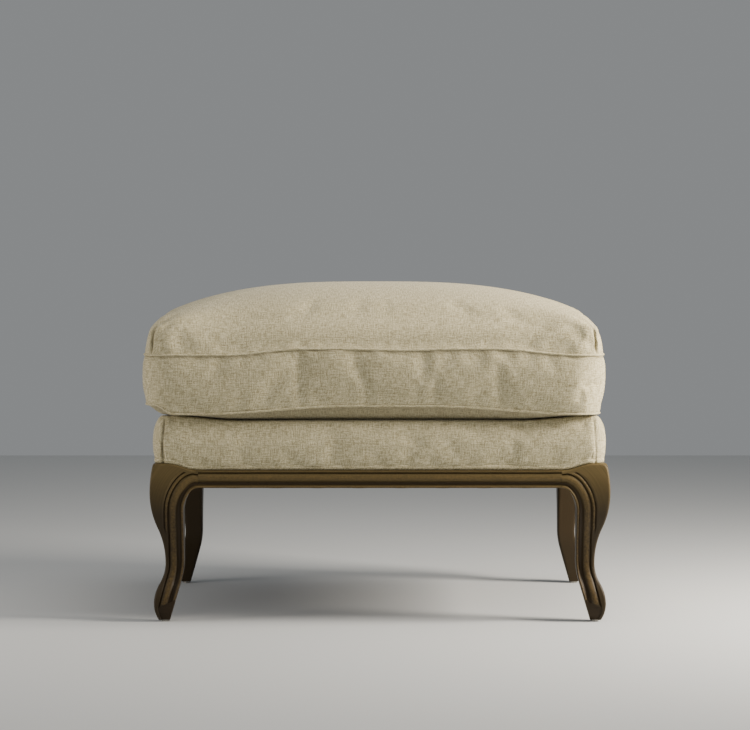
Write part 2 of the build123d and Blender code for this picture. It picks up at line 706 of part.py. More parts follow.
# Slider astride the chain, with lugs and a pin for its pull
slider_place = Pos(zip_length / 2 - zip_stop_length - slider_clearance - slider_length / 2, 0, 0)
slider = about_zip(slider_length, slider_height, cushion_back + slider_clearance, plate_face)
slider = fillet(slider.edges().filter_by(Axis.Y), slider_rounding)
chain_room = zip_chain_height + 2 * slider_clearance
slider -= about_zip(2 * slider_length, chain_room, cushion_back, chain_face + slider_clearance)
lug_gap = pull_width + 2 * slider_clearance
lugs = about_zip(lug_length, lug_gap + 2 * lug_thickness, plate_face, plate_face + lug_height)
lugs -= about_zip(2 * lug_length, lug_gap, plate_face, plate_face + 2 * lug_height)
pin_place = Pos(0, plate_face + pin_height, zip_middle)
pin = pin_place * Cylinder(pin_diameter / 2, lug_gap + lug_thickness)
save("zip_slider", slider_place * (slider + lugs + pin))
eye_radius = pin_diameter / 2 + pin_clearance + pull_eye_wall
pull = Cylinder(eye_radius, pull_width) + Box(pull_length, pull_thickness, pull_width,
                                              align=(Align.MIN, Align.CENTER, Align.CENTER))
pull -= Cylinder(pin_diameter / 2 + pin_clearance, 2 * pull_width)
pull -= Pos(pull_length - pull_width / 2, 0, 0) * Box(pull_hole, 2 * pull_thickness, pull_hole)
save("zip_pull", slider_place * pin_place * pull)
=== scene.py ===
import bmesh
import bpy
import numpy as np
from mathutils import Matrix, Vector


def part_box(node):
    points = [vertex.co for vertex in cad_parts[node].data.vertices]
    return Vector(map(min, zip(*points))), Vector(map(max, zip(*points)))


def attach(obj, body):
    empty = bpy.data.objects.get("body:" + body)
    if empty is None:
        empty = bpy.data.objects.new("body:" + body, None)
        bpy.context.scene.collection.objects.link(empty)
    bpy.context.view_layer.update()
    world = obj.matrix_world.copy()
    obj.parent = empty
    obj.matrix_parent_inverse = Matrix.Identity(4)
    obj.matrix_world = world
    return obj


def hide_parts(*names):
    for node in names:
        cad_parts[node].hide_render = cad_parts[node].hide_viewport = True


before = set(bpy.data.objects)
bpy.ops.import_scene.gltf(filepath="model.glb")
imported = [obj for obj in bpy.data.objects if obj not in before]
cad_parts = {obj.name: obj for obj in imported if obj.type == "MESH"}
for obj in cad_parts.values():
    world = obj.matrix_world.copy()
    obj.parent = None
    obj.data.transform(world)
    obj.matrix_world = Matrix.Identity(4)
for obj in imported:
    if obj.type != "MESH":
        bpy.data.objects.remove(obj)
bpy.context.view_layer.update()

# Legs: four cabriole legs of beech, bandsawn to an S on both faces, then moulded and antiqued.
# Each face carries a bead, a deep cove, a broad torus and a thin outer bead, which run on into
# the rails; below them the toe is a plain recessed block on a nailed glide.
mm = 0.001
knee_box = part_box("leg_front_left")
half_width = -knee_box[0].x
half_depth = -knee_box[0].y
leg_reach = knee_box[1].x - knee_box[0].x
sole_level = knee_box[0].z
rail_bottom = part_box("rail_front")[0].z
show_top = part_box("deck_welt")[0].z - 0.2 * mm


def linear(colour):
    """sRGB hex to linear RGBA, by the standard curve."""
    srgb = np.array([int(colour[place:place + 2], 16) for place in (1, 3, 5)]) / 255
    curve = np.where(srgb <= 0.04045, srgb / 12.92, ((srgb + 0.055) / 1.055) ** 2.4)
    return (*curve.tolist(), 1.0)


def add(tree, kind, inputs=None, **settings):
    """Add a node; an input that is a socket is linked, any other is set."""
    made = tree.nodes.new(kind)
    for name, value in settings.items():
        setattr(made, name, value)
    for place, value in (inputs or {}).items():
        if isinstance(value, bpy.types.NodeSocket):
            tree.links.new(value, made.inputs[place])
        else:
            made.inputs[place].default_value = value
    return made


def new_material(name):
    """An empty node material with its surface shader and output."""
    made = bpy.data.materials.new(name)
    made.use_nodes = True
    tree = made.node_tree
    return made, tree, tree.nodes["Principled BSDF"]


def mesh_piece(name, grids, close=(), weld=0.02 * mm):
    """One mesh from grids of (points, uv, attributes), welded where their edges meet.

    A grid is rows by columns of points; each cell of four neighbours is a face. close lists
    further faces as rows of points, each one a polygon.
    """
    points, uvs, faces, marks = [], [], [], {}
    count = 0
    for place, uv, attributes in grids:
        rows, columns = place.shape[:2]
        index = count + np.arange(rows * columns).reshape(rows, columns)
        corners = (index[:-1, :-1], index[:-1, 1:], index[1:, 1:], index[1:, :-1])
        faces += np.stack(corners, -1).reshape(-1, 4).tolist()
        points.append(place.reshape(-1, 3))
        uvs.append(uv.reshape(-1, 2))
        for key, value in attributes.items():
            marks.setdefault(key, {})[count] = value.ravel()
        count += rows * columns
    for ring in close:
        faces.append(list(range(count, count + len(ring))))
        points.append(ring)
        uvs.append(ring[:, :2])
        count += len(ring)
    points = np.concatenate(points)
    uvs = np.concatenate(uvs)
    mesh = bpy.data.meshes.new(name)
    mesh.from_pydata(points.tolist(), [], faces)
    loops = np.zeros(len(mesh.loops), np.int32)
    mesh.loops.foreach_get("vertex_index", loops)
    mesh.uv_layers.new(name="cloth").data.foreach_set("uv", uvs[loops].ravel())
    for key, parts in marks.items():
        whole = np.zeros(count, np.float32)
        for start, value in parts.items():
            whole[start:start + len(value)] = value
        mesh.attributes.new(key, "FLOAT", "POINT").data.foreach_set("value", whole)
    work = bmesh.new()
    work.from_mesh(mesh)
    bmesh.ops.remove_doubles(work, verts=work.verts, dist=weld)
    bmesh.ops.dissolve_degenerate(work, edges=work.edges, dist=weld / 10)
    bmesh.ops.recalc_face_normals(work, faces=work.faces)
    work.to_mesh(mesh)
    work.free()
    mesh.shade_smooth()
    piece = bpy.data.objects.new(name, mesh)
    bpy.context.scene.collection.objects.link(piece)
    return piece


def bump_of(position, size):
    """Half-round swelling from 0 at its edges to 1 in the middle of a width."""
    return np.sqrt(np.clip(1 - (2 * position / size - 1) ** 2, 0, 1))


def ease(x):
    """Smooth step from 0 to 1."""
    x = np.clip(x, 0, 1)
    return x * x * (3 - 2 * x)


def moulding():
    """Columns of the moulding, from its inner edge outwards: place, depth, crest and part ends.

    The two beads and the torus are round and proud, the cove and the two quirks are round and sunk.
    """
    bead, cove, torus, quirk = 3.3 * mm, 6.4 * mm, 10.8 * mm, 2.0 * mm
    thin_bead, outer_quirk = 4.2 * mm, 1.9 * mm
    proud, sunk = 1, -1
    parts = ((bead, 1.3 * mm, 0.0, 9, proud),
             (cove, 1.3 * mm, 4.0 * mm, 11, sunk),
             (torus, 2.4 * mm, 0.0, 15, proud),
             (quirk, 1.8 * mm, 2.9 * mm, 6, sunk),
             (thin_bead, 1.6 * mm, 0.0, 8, proud),
             (outer_quirk, 1.6 * mm, 2.2 * mm, 5, sunk))
    place, depth, crest, ends = [], [], [], [0.0]
    for size, edge_depth, middle_depth, steps, way in parts:
        run = np.linspace(0, size, steps)[:-1]
        swell = bump_of(run, size)
        place.append(ends[-1] + run)
        depth.append(edge_depth + (middle_depth - edge_depth) * swell)
        crest.append(way * swell)
        ends.append(ends[-1] + size)
    return np.concatenate(place), np.concatenate(depth), np.concatenate(crest), ends


mould_place, mould_depth, mould_crest, mould_ends = moulding()
knee_level, ankle_level, toe_level = 187 * mm, 84 * mm, 26 * mm
ear_level = show_top + 9.5 * mm
ear_back, ankle_back, toe_back, sole_back = 4.7 * mm, 21.2 * mm, 5.5 * mm, 12.0 * mm


def leg_outer(level):
    """Outer S of the leg as set-back from the knee: equal arcs that meet with upright tangents."""
    def bend(low, low_back, high, high_back):
        half, run = (high - low) / 2, (high_back - low_back) / 2
        radius = (half ** 2 + run ** 2) / (2 * abs(run))
        rise = np.clip(np.minimum(level - low, high - level), 0, half)
        swing = np.sign(run) * (radius - np.sqrt(radius ** 2 - rise ** 2))
        return np.where(level - low < half, low_back + swing, high_back - swing)

    def quarter(flat, flat_back, end, end_back):
        height, run = end - flat, end_back - flat_back
        radius = (height ** 2 + run ** 2) / (2 * abs(run))
        rise = np.clip((level - flat) * np.sign(height), 0, abs(height))
        return flat_back + np.sign(run) * (radius - np.sqrt(radius ** 2 - rise ** 2))

    back = quarter(knee_level, 0.0, ear_level, ear_back)
    back = np.where(level < knee_level, bend(ankle_level, ankle_back, knee_level, 0.0), back)
    back = np.where(level < ankle_level, bend(toe_level, toe_back, ankle_level, ankle_back), back)
    return np.where(level < toe_level, quarter(toe_level, toe_back, sole_level, sole_back), back)


def ear_edge(inwards):
    """Level of the polished edge: it climbs by a smooth step and rounds over at the corner."""
    flat, run, nose = 26.5 * mm, 42.0 * mm, 5.0 * mm
    climbed = show_top + (ear_level - show_top) * ease((flat + run - inwards) / run)
    past = np.clip((ear_back + nose - inwards) / nose, 0, 1)
    return climbed - nose * (1 - np.sqrt(1 - past ** 2))


def leg_inner_line():
    """Arch and inner edge of a leg, and the way across its face, from the rail's end to the sole."""
    inner, arch, turn = 48.0 * mm, 34.0 * mm, np.radians(50)
    bend_top, bend_radius, splay = 88.0 * mm, 110.0 * mm, np.radians(16)
    run = leg_reach - inner
    step = (arch - run) / (np.sin(turn) + np.cos(turn) - 1)
    tight = run - step * (1 - np.sin(turn))
    upper = np.array([-leg_reach, rail_bottom - tight])
    lower = upper - step * np.array([np.sin(turn), np.cos(turn)])
    bend = np.array([bend_radius - inner, bend_top])

    def round_part(centre, radius, angles, way):
        spoke = np.stack([np.cos(angles), np.sin(angles)], -1)
        return centre + radius * spoke, way * spoke

    quarter = np.pi / 2
    parts = [round_part(upper, tight, np.linspace(quarter, quarter - turn, 26), 1),
             round_part(lower, tight + step, np.linspace(quarter - turn, 0, 24)[1:], 1)]
    straight = np.linspace(lower[1], bend_top, 22)[1:]
    upright = np.stack([np.full_like(straight, -inner), straight], -1)
    parts.append((upright, np.tile([1.0, 0.0], (len(straight), 1))))
    parts.append(round_part(bend, bend_radius, np.linspace(np.pi, np.pi + splay, 16)[1:], -1))
    foot, across = parts[-1][0][-1], parts[-1][1][-1]
    share = np.linspace(0, 1, 56)[1:, None]
    drop = (foot[1] - sole_level) * np.array([np.tan(splay), -1.0])
    levelled = np.concatenate([np.full_like(share, across[0]), across[1] * (1 - share)], 1)
    parts.append((foot + share * drop, levelled))
    return np.concatenate([part[0] for part in parts]), np.concatenate([part[1] for part in parts])


def make_leg(name, side, end):
    """A leg as two moulded faces, which meet on the mitre of its corner, and two plain inner faces.

    Rows run from the inner line across the face to the outer S or to the polished edge. Columns of
    the moulding keep their distance from the inner line and the plain field fills the rest; the
    outer S then sets every point back by its level. Below the toe line the moulding stops.
    """
    edge, across = leg_inner_line()
    widest, tries = 90 * mm, 1801
    reach = np.linspace(0, widest, tries)
    trial = edge[:, None] + reach[:, None] * across[:, None]
    past_side = trial[..., 0] > -leg_outer(trial[..., 1])
    outside = past_side | (trial[..., 1] > ear_edge(-trial[..., 0]))
    outside[:, 0] = False
    last = np.argmax(outside, 1)
    to_side = past_side[np.arange(len(edge)), last][:, None]
    arris, strip, cap = 3.2 * mm, 1.5 * mm, 14.0 * mm
    flat_width = reach[last][:, None] - arris
    main_end, bead_run = mould_ends[4], mould_ends[-1] - mould_ends[4]
    main = mould_place < main_end
    scale = np.minimum(1, (flat_width - strip) / main_end)
    bead_room = np.minimum(bead_run, (flat_width - scale * main_end) / 2)
    bead_place = scale * main_end + bead_room * (mould_place[~main] - main_end) / bead_run
    field_start = scale * main_end + bead_room
    field_place = field_start + np.linspace(0, 1, 10) * (flat_width - field_start)
    turn = np.where(to_side, np.pi / 4, np.pi / 2) * np.linspace(0, 1, 7)[1:]
    round_place = flat_width + arris * np.sin(turn)
    place = np.concatenate([scale * mould_place[main], bead_place, field_place, round_place,
                            round_place[:, -1:]], 1)
    plain = np.zeros(field_place.shape)
    fade = ease((bead_room - 0.6 * bead_run) / (0.4 * bead_run))
    moulded = np.where(main, 1.0, fade)
    depth = np.concatenate([mould_depth * moulded, plain, arris * (1 - np.cos(turn)),
                            plain[:, :1] + cap], 1)
    crest = np.concatenate([mould_crest * moulded, plain, turn / np.pi, plain[:, :1]], 1)
    points = edge[:, None] + place[..., None] * across[:, None]
    inwards, level = -points[..., 0], points[..., 1]
    # Below the toe line the block is sunk and given the hollows' dark colour, which is painted shade.
    toe_high, toe_drop, toe_start, toe_run = 32 * mm, 10 * mm, 34 * mm, 22 * mm
    toe_fade, toe_sink, toe_shade_crest = 1.4 * mm, 2.4 * mm, -0.75
    toe_line = toe_high - toe_drop * np.clip((toe_start - inwards) / toe_run, 0, 1)
    on_main = np.arange(place.shape[1]) < np.count_nonzero(main)
    toe = ease((toe_line - level) / toe_fade) * on_main
    depth = depth + (toe_sink - depth) * toe
    crest = crest + (toe_shade_crest - crest) * toe
    out = leg_outer(level)
    depth = np.minimum(depth, np.maximum(inwards - out, 0))
    face_x = half_width - inwards
    face_y = half_depth - out - depth
    front = np.stack([side * face_x, end * face_y, level], -1)
    flank = np.stack([side * (half_width - out - depth), end * (half_depth - inwards), level], -1)
    lengths = np.concatenate([[0], np.cumsum(np.linalg.norm(np.diff(edge, axis=0), axis=1))])
    own_grain = 0.3 * side + 0.2 * end
    uv = np.stack([np.broadcast_to(lengths[:, None], place.shape), place + own_grain], -1)
    share = np.linspace(0, 1, 9)
    inner_x = face_x[:, :1] * (1 - share) + (half_width + edge[:, :1]) * share
    inner_y = face_y[:, :1] * (1 - share) + (half_depth + edge[:, :1]) * share
    inner_z = np.broadcast_to(edge[:, 1:], inner_x.shape)
    inner_front = np.stack([side * inner_x, end * inner_y, inner_z], -1)
    flank_x = half_width - half_depth + inner_y
    flank_y = half_depth - half_width + inner_x
    inner_flank = np.stack([side * flank_x, end * flank_y, inner_z], -1)
    inner_place = np.broadcast_to(0.1 + 0.05 * share, inner_x.shape)
    inner_uv = np.stack([np.broadcast_to(lengths[:, None], inner_x.shape), inner_place], -1)
    # The plain inner faces are a little darker, in the hollows' colour: painted shade.
    inner_face_shade = {"crest": np.full(inner_x.shape, -0.25)}
    sole = np.concatenate([front[-1], flank[-1][::-1][1:],
                           inner_flank[-1][1:], inner_front[-1][::-1][1:-1]])
    return mesh_piece(name, [(front, uv, {"crest": crest}), (flank, uv, {"crest": crest}),
                             (inner_front, inner_uv, inner_face_shade), (inner_flank, inner_uv, inner_face_shade)], [sole])


def antiqued_beech():
    """Beech stained dark, darker towards the feet, with glaze in the hollows and rubbed edges.

    It gives the eye a warm brown with fine long grain, near black quirks and soft highlights. The dark
    of the hollows is partly glaze and partly painted shade, the pale of the crests partly rubbed wear and
    partly a painted highlight; the inner faces, the toes and the rails' top lip are darkened as painted
    shade.
    """
    made, tree, surface = new_material("antiqued_beech")
    uv = add(tree, "ShaderNodeUVMap", uv_map="cloth").outputs["UV"]
    crest = add(tree, "ShaderNodeAttribute", attribute_name="crest").outputs["Fac"]
    grain_run, grain_width, patch_size, fleck_size = 60 * mm, 1.6 * mm, 70 * mm, 3 * mm
    # Darker towards the feet, from 214 mm down to 155 mm above the floor.
    darkening_start, darkening_full = 214 * mm, 155 * mm
    along = add(tree, "ShaderNodeMapping", {"Vector": uv, "Scale": (1 / grain_run, 1 / grain_width, 1.0)})
    grain = add(tree, "ShaderNodeTexNoise",
                {"Vector": along.outputs[0], "Scale": 1.0, "Detail": 4.0, "Roughness": 0.6})
    place = add(tree, "ShaderNodeTexCoord").outputs["Object"]
    patch = add(tree, "ShaderNodeTexNoise", {"Vector": place, "Scale": 1 / patch_size, "Detail": 3.0})
    fleck = add(tree, "ShaderNodeTexNoise", {"Vector": place, "Scale": 1 / fleck_size, "Detail": 3.0})
    stain = add(tree, "ShaderNodeValToRGB", {"Fac": grain.outputs["Fac"]})
    stain.color_ramp.elements[0].position = 0.3
    stain.color_ramp.elements[0].color = linear("#44391c")
    stain.color_ramp.elements[1].position = 0.72
    stain.color_ramp.elements[1].color = linear("#685737")
    uneven = add(tree, "ShaderNodeMix",
                 {0: patch.outputs["Fac"], 6: stain.outputs["Color"], 7: linear("#54482a")},
                 data_type="RGBA")
    height = add(tree, "ShaderNodeSeparateXYZ", {0: place}).outputs["Z"]
    low = add(tree, "ShaderNodeMapRange", {"Value": height, "From Min": darkening_start, "From Max": darkening_full,
                                           "To Min": 0.0, "To Max": 0.8})
    toned = add(tree, "ShaderNodeMix", {0: low.outputs[0], 6: uneven.outputs[2], 7: linear("#1e1407")},
                data_type="RGBA")
    # Pale on the proud crests of the moulding and the rounded arrises: partly rubbed wear, partly a painted
    # highlight.
    wear_and_highlight = add(tree, "ShaderNodeMath", {0: crest, 1: fleck.outputs["Fac"]}, operation="MULTIPLY")
    rubbed_and_highlight = add(tree, "ShaderNodeMapRange", {"Value": wear_and_highlight.outputs[0], "From Min": 0.25, "From Max": 0.75,
                                              "To Min": 0.0, "To Max": 0.5})
    pale = add(tree, "ShaderNodeMix", {0: rubbed_and_highlight.outputs[0], 6: toned.outputs[2], 7: linear("#745f38")},
               data_type="RGBA")
    # Dark in the cove, the quirks and every other sunk part: partly glaze in the hollows, partly painted
    # shade.
    sunk = add(tree, "ShaderNodeMapRange", {"Value": crest, "From Min": -0.15, "From Max": -0.85,
                                            "To Min": 0.0, "To Max": 0.75})
    glaze_and_shade = add(tree, "ShaderNodeMix", {0: sunk.outputs[0], 6: pale.outputs[2], 7: linear("#291c09")},
                 data_type="RGBA")
    tree.links.new(glaze_and_shade.outputs[2], surface.inputs["Base Color"])
    gloss = add(tree, "ShaderNodeMapRange", {"Value": fleck.outputs["Fac"], "To Min": 0.42, "To Max": 0.6})
    tree.links.new(gloss.outputs[0], surface.inputs["Roughness"])
    relief = add(tree, "ShaderNodeBump",
                 {"Strength": 0.25, "Distance": 0.3 * mm, "Height": grain.outputs["Fac"]})
    tree.links.new(relief.outputs[0], surface.inputs["Normal"])
    surface.inputs["Specular IOR Level"].default_value = 0.24
    return made


beech = antiqued_beech()
corners = {"front_left": (-1, -1), "front_right": (1, -1), "back_left": (-1, 1), "back_right": (1, 1)}
for corner_name, (side, end) in corners.items():
    leg = make_leg("cabriole_leg_" + corner_name, side, end)
    leg.data.materials.append(beech)
    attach(leg, "stool_frame")
    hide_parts("leg_" + corner_name)

# Rails: four straight beech rails between the legs, with the same moulding along their lower
# edge and a rabbet above it for the padding. They are joined to the legs with loose tenons.
rail_ends = {"rail_front": (0, -1), "rail_back": (0, 1), "rail_left": (1, -1), "rail_right": (1, 1)}
for rail_name, (across_axis, end) in rail_ends.items():
    low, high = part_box(rail_name)
    rail_half = high.y if across_axis else high.x
    rail_face = half_width if across_axis else half_depth
    shown = mould_place < show_top - rail_bottom
    face = np.concatenate([mould_place[shown], [show_top - rail_bottom]])
    # The top lip of the rail, under the deck's welt, gets the hollows' dark colour as a painted shadow, and
    # the rail's inner faces a little of it as painted shade.
    lip_depth, lip_shadow_crest, inside_shade_crest = 0.6 * mm, -0.6, -0.3
    sunk = np.concatenate([mould_depth[shown], [lip_depth]])
    crest = np.concatenate([mould_crest[shown], [lip_shadow_crest]])
    rabbet, thick, back = 14 * mm, 34 * mm, high.z - low.z
    section_z = rail_bottom + np.concatenate([face, [face[-1], back, back, 0.0, face[0]]])
    section_in = np.concatenate([sunk, [rabbet, rabbet, thick, thick, sunk[0]]])
    section_crest = np.concatenate([crest, [lip_shadow_crest], [inside_shade_crest] * 3, [crest[0]]])
    along = np.linspace(-rail_half, rail_half, 40)
    run, inset = np.meshgrid(along, section_in, indexing="ij")
    level = np.broadcast_to(section_z, run.shape)
    step_back = 1.2 * mm
    out = end * (rail_face - step_back - inset)
    points = np.stack([out, run, level] if across_axis else [run, out, level], -1)
    lengths = np.concatenate([[0], np.cumsum(np.hypot(np.diff(section_z), np.diff(section_in)))])
    own_run, own_place = 0.7 * across_axis, 0.11 * end
    uv = np.stack([run + own_run, np.broadcast_to(lengths, run.shape) + own_place], -1)
    caps = [points[0, :-1], points[-1, :-1]]
    rail_crest = np.broadcast_to(section_crest, run.shape)
    rail = mesh_piece("moulded_" + rail_name, [(points, uv, {"crest": rail_crest})], caps)
    crisp_angle = np.radians(60)
    rail.data.set_sharp_from_angle(angle=crisp_angle)
    rail.data.materials.append(beech)
    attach(rail, "stool_frame")
    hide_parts(rail_name)

# Joinery: raw beech loose tenons between rails and legs, and a beech block screwed into each
# corner. They are hidden under the padding and the dust cover.


def plain_material(name, colour, roughness, metal=0.0, grain=2 * mm):
    """A plain finish with fine uneven tone; grain is the size of its flecks."""
    made, tree, surface = new_material(name)
    place = add(tree, "ShaderNodeTexCoord").outputs["Object"]
    fleck = add(tree, "ShaderNodeTexNoise", {"Vector": place, "Scale": 1 / grain, "Detail": 3.0})
    tone = add(tree, "ShaderNodeMix", {0: fleck.outputs["Fac"], 6: linear(colour[0]), 7: linear(colour[1])},
               data_type="RGBA")
    tree.links.new(tone.outputs[2], surface.inputs["Base Color"])
    surface.inputs["Roughness"].default_value = roughness
    surface.inputs["Metallic"].default_value = metal
    return made


def finish_nodes(material, *names):
    """Give carried-over CAD nodes their finish."""
    for name in names:
        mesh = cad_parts[name].data
        mesh.materials.clear()
        mesh.materials.append(material)


raw_beech = plain_material("raw_beech", ("#b78d5f", "#cda878"), 0.7, grain=6 * mm)
finish_nodes(raw_beech, "rail_tenons", "corner_block_front_left", "corner_block_front_right",
             "corner_block_back_left", "corner_block_back_right")
zinc_steel = plain_material("zinc_steel", ("#9a9ca0", "#b9bbbd"), 0.38, metal=1.0)
finish_nodes(zinc_steel, "corner_block_screws")

# Glides: four pressed steel discs, each nailed into a sole, so that the feet slide and the
# end grain stays off the floor.
nickel_steel = plain_material("nickel_steel", ("#8d8a84", "#a9a6a0"), 0.3, metal=1.0)
finish_nodes(nickel_steel, "foot_glides")

# Webbing and hessian: jute straps stretched over the rails and woven over and under, with a
# coarse hessian sheet on top that keeps the padding from sagging between them.
jute = plain_material("jute_webbing", ("#8a6f48", "#b3966a"), 0.9, grain=1.5 * mm)
finish_nodes(jute, "webbing_side_to_side", "webbing_front_to_back")
hessian = plain_material("hessian_cloth", ("#92794f", "#ab9065"), 0.9, grain=1.2 * mm)
finish_nodes(hessian, "hessian")

# Deck: soft padding under a tight linen cover, pulled down over the rails into the rabbet and
# finished with a flat self welt along the polished edge. Its corners are sewn.


def plan_grid(near_x, near_y, half_x, half_y, corner):
    """Plan of a rounded rectangle as a grid, from distances to its edges.

    Inside each corner square both places shrink by the root of one minus half the other's
    square, which turns the square into a quarter disc and leaves its inner sides alone.
    """
    line_x = np.concatenate([near_x - half_x, (half_x - near_x)[::-1][1:]])
    line_y = np.concatenate([near_y - half_y, (half_y - near_y)[::-1][1:]])
    x, y = np.meshgrid(line_x, line_y)
    part_x = np.clip((np.abs(x) - half_x + corner) / corner, 0, 1)
    part_y = np.clip((np.abs(y) - half_y + corner) / corner, 0, 1)
    shift_x = part_x * np.sqrt(1 - part_y ** 2 / 2) - part_x
    shift_y = part_y * np.sqrt(1 - part_x ** 2 / 2) - part_y
    return x, y, x + np.sign(x) * corner * shift_x, y + np.sign(y) * corner * shift_y


def edge_steps(half, close, pitch):
    """Distances from an edge: the close steps, then even ones up to the middle."""
    rest = np.linspace(close[-1], half, 1 + int(np.ceil((half - close[-1]) / pitch)))
    return np.concatenate([close, rest[1:]])


def rim(grid):
    """Closed loop round a grid's edge: front, right, back, left, and the first point again."""
    return np.concatenate([grid[0, :-1], grid[:-1, -1], grid[-1, :0:-1], grid[::-1, 0]])


def cloth_uv(points):
    """Lengths along the columns and the rows of a grid, measured on the cloth, in metres."""
    across = np.linalg.norm(np.diff(points, axis=1), axis=2)
    along = np.linalg.norm(np.diff(points, axis=0), axis=2)
    u = np.concatenate([np.zeros((len(points), 1)), np.cumsum(across, 1)], 1)
    v = np.concatenate([np.zeros((1, points.shape[1])), np.cumsum(along, 0)], 0)
    return np.stack([u - u[:, u.shape[1] // 2, None], v - v[None, len(v) // 2]], -1)


def soft_min(one, other, power):
    """Both shares at once: their inverse powers add, less one, and the inverse root turns them back.

    Each counts alone where the other is full, and at a corner the result is lower than either.
    """
    low = 1e-3
    return (np.maximum(one, low) ** -power + np.maximum(other, low) ** -power - 1) ** (-1 / power)


def outward_of(loop):
    """Level directions that point out of a closed loop."""
    ahead = np.roll(loop[:-1], -1, 0) - np.roll(loop[:-1], 1, 0)
    ahead = np.concatenate([ahead, ahead[:1]])
    outward = np.stack([ahead[:, 1], -ahead[:, 0], np.zeros(len(loop))], -1)
    return outward / np.linalg.norm(outward, axis=1, keepdims=True)


def tube(name, path, out_radius, up_radius, sides):
    """A closed cord: an upright oval section carried along a closed path."""
    turn = np.linspace(0, 2 * np.pi, sides + 1)[:, None, None]
    up = np.array([0.0, 0.0, 1.0])
    points = path + np.cos(turn) * out_radius * outward_of(path) + np.sin(turn) * up_radius * up
    return mesh_piece(name, [(points, cloth_uv(points), {})])


def linen():
    """Undyed linen in a coarse plain weave with slubs in both directions.

    It gives the eye an oatmeal ground broken by short pale and dark streaks and specks. It is darkened
    as painted shade in the folds of the darts, along the deck's seams, under the top welt and on the
    cushion's underside. The weave is drawn at 2.4 mm, coarser than the 0.8 mm usual for such cloth,
    so that it still shows at this distance.
    """
    made, tree, surface = new_material("linen")
    uv = add(tree, "ShaderNodeUVMap", uv_map="cloth").outputs["UV"]
    slub_length, slub_width, thread, speck, patch_size = 13 * mm, 1.5 * mm, 2.4 * mm, 2.1 * mm, 60 * mm
    speck_weight, weave_weight, to_ramp = 0.6, 0.09, 0.385
    warp_scale = (1 / slub_width, 1 / slub_length, 1.0)
    weft_scale = (1 / slub_length, 1 / slub_width, 1.0)
    streaks = []
    for scale, seed in ((warp_scale, (0.0, 0.0, 0.0)), (weft_scale, (31.0, 17.0, 5.0))):
        drawn = add(tree, "ShaderNodeMapping", {"Vector": uv, "Scale": scale, "Location": seed})
        streak = add(tree, "ShaderNodeTexNoise",
                     {"Vector": drawn.outputs[0], "Scale": 1.0, "Detail": 3.0, "Roughness": 0.65})
        streaks.append(streak.outputs["Fac"])
    slubs = add(tree, "ShaderNodeMath", {0: streaks[0], 1: streaks[1]}, operation="ADD")
    specks = add(tree, "ShaderNodeTexNoise", {"Vector": uv, "Scale": 1 / speck, "Detail": 1.0})
    both = add(tree, "ShaderNodeMath", {0: specks.outputs["Fac"], 1: speck_weight, 2: slubs.outputs[0]},
               operation="MULTIPLY_ADD")
    parts = add(tree, "ShaderNodeSeparateXYZ", {"Vector": uv})
    waves = []
    for side in ("X", "Y"):
        turned = add(tree, "ShaderNodeMath", {0: parts.outputs[side], 1: 2 * np.pi / thread},
                     operation="MULTIPLY")
        waves.append(add(tree, "ShaderNodeMath", {0: turned.outputs[0]}, operation="SINE").outputs[0])
    weave = add(tree, "ShaderNodeMath", {0: waves[0], 1: waves[1]}, operation="MULTIPLY")
    height = add(tree, "ShaderNodeMath", {0: weave.outputs[0], 1: weave_weight, 2: both.outputs[0]},
                 operation="MULTIPLY_ADD")
    scaled = add(tree, "ShaderNodeMath", {0: height.outputs[0], 1: to_ramp}, operation="MULTIPLY")
    tone = add(tree, "ShaderNodeValToRGB", {"Fac": scaled.outputs[0]})
    tone.color_ramp.elements[0].position = 0.41
    tone.color_ramp.elements[0].color = linear("#8b8160")
    tone.color_ramp.elements[1].position = 0.59
    tone.color_ramp.elements[1].color = linear("#dad1ae")
    patch = add(tree, "ShaderNodeTexNoise", {"Vector": uv, "Scale": 1 / patch_size, "Detail": 2.0})
    cast = add(tree, "ShaderNodeMapRange", {"Value": patch.outputs["Fac"], "To Min": 0.0, "To Max": 0.3})
    shaded = add(tree, "ShaderNodeMix",
                 {0: cast.outputs[0], 6: tone.outputs["Color"], 7: linear("#aca27d")}, data_type="RGBA")
    # Painted shade: a point attribute darkens the cloth in folds, along seam lines, under the welt and
    # under the cushion.
    painted_shade = add(tree, "ShaderNodeAttribute", attribute_name="painted_shade").outputs["Fac"]
    with_painted_shade = add(tree, "ShaderNodeMix", {0: painted_shade, 6: shaded.outputs[2], 7: linear("#4d4634")},
               data_type="RGBA")
    tree.links.new(with_painted_shade.outputs[2], surface.inputs["Base Color"])
    surface.inputs["Roughness"].default_value = 0.92
    surface.inputs["Specular IOR Level"].default_value = 0.25
    surface.inputs["Sheen Weight"].default_value = 0.12
    relief = add(tree, "ShaderNodeBump",
                 {"Strength": 0.6, "Distance": 0.6 * mm, "Height": height.outputs[0]})
    tree.links.new(relief.outputs[0], surface.inputs["Normal"])
    return made


cloth = linen()


